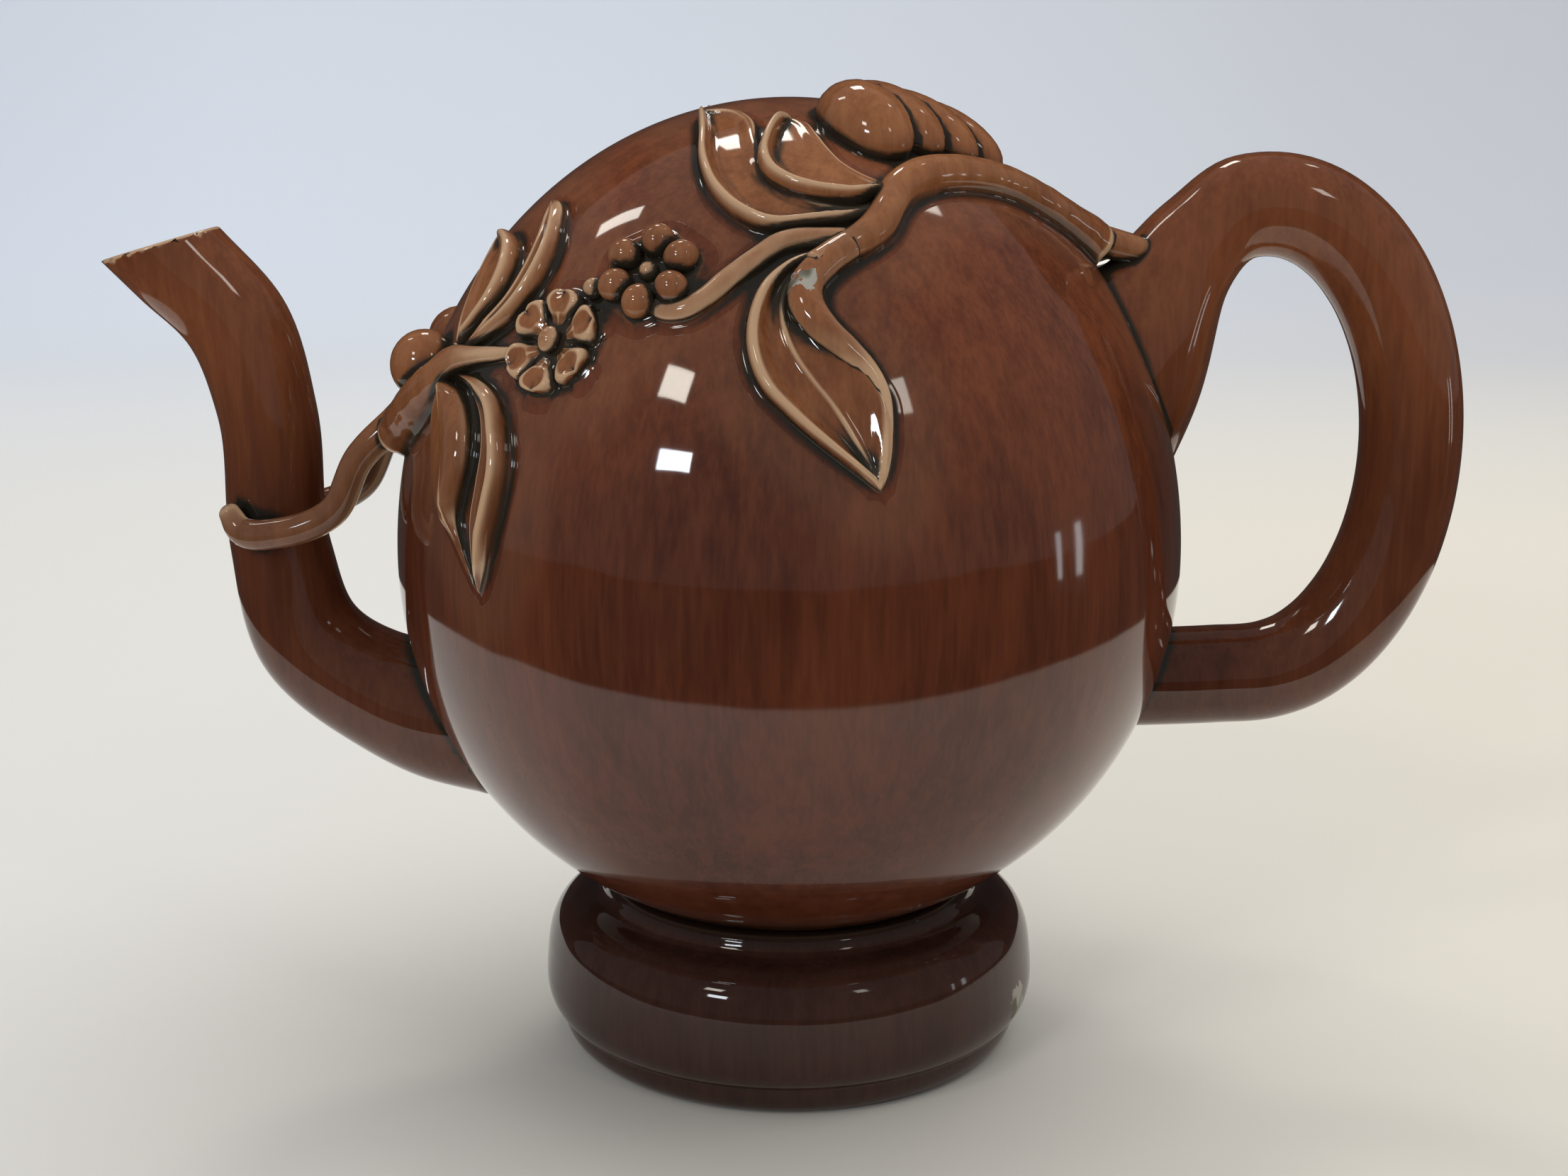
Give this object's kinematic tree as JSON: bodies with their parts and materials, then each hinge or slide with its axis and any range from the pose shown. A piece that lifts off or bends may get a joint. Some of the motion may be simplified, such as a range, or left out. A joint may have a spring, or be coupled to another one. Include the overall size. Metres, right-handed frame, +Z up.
{
  "type": "cadogan teapot",
  "caption": "Lidless globular teapot filled through its base, with a curved spout, a loop handle and applied sprays of leaves, flowers and fruit.",
  "frame": {"origin": "centre of the foot ring's underside, on the table", "axes": "+Z up, +X towards the handle, -X towards the spout, -Y the face with the spray seen in the picture"},
  "size_m": [0.2106, 0.1222, 0.1521],
  "materials": {
    "body_glaze": "glossy",
    "leaf_glaze": "glossy",
    "foot_glaze": "glossy",
    "inner_glaze": "glossy"
  },
  "bodies": {
    "root": {"back_berries": "leaf_glaze", "back_berry_heart": "leaf_glaze", "back_berry_stem": "leaf_glaze", "back_bud": "leaf_glaze", "back_crescent_leaf": "leaf_glaze", "back_draped_leaf": "leaf_glaze", "back_flower": "leaf_glaze", "back_flower_boss": "leaf_glaze", "back_handle_twig": "body_glaze", "back_hanging_leaf": "leaf_glaze", "back_main_branch": "body_glaze", "back_rolled_leaf": "leaf_glaze", "back_side_fruit": "leaf_glaze", "back_side_leaf": "leaf_glaze", "back_spout_branch": "body_glaze", "back_spout_twig": "body_glaze", "back_upper_leaf": "leaf_glaze", "body_lower_shell": "body_glaze", "body_upper_shell": "body_glaze", "crown_fruit": "leaf_glaze", "filling_tube": "inner_glaze", "foot_ring": "foot_glaze", "front_berries": "leaf_glaze", "front_berry_heart": "leaf_glaze", "front_berry_stem": "leaf_glaze", "front_bud": "leaf_glaze", "front_crescent_leaf": "leaf_glaze", "front_draped_leaf": "leaf_glaze", "front_flower": "leaf_glaze", "front_flower_boss": "leaf_glaze", "front_handle_twig": "body_glaze", "front_hanging_leaf": "leaf_glaze", "front_main_branch": "body_glaze", "front_rolled_leaf": "leaf_glaze", "front_side_fruit": "leaf_glaze", "front_side_leaf": "leaf_glaze", "front_spout_branch": "body_glaze", "front_spout_twig": "body_glaze", "front_upper_leaf": "leaf_glaze", "handle": "body_glaze", "spout": "body_glaze"}
  },
  "joints": []
}
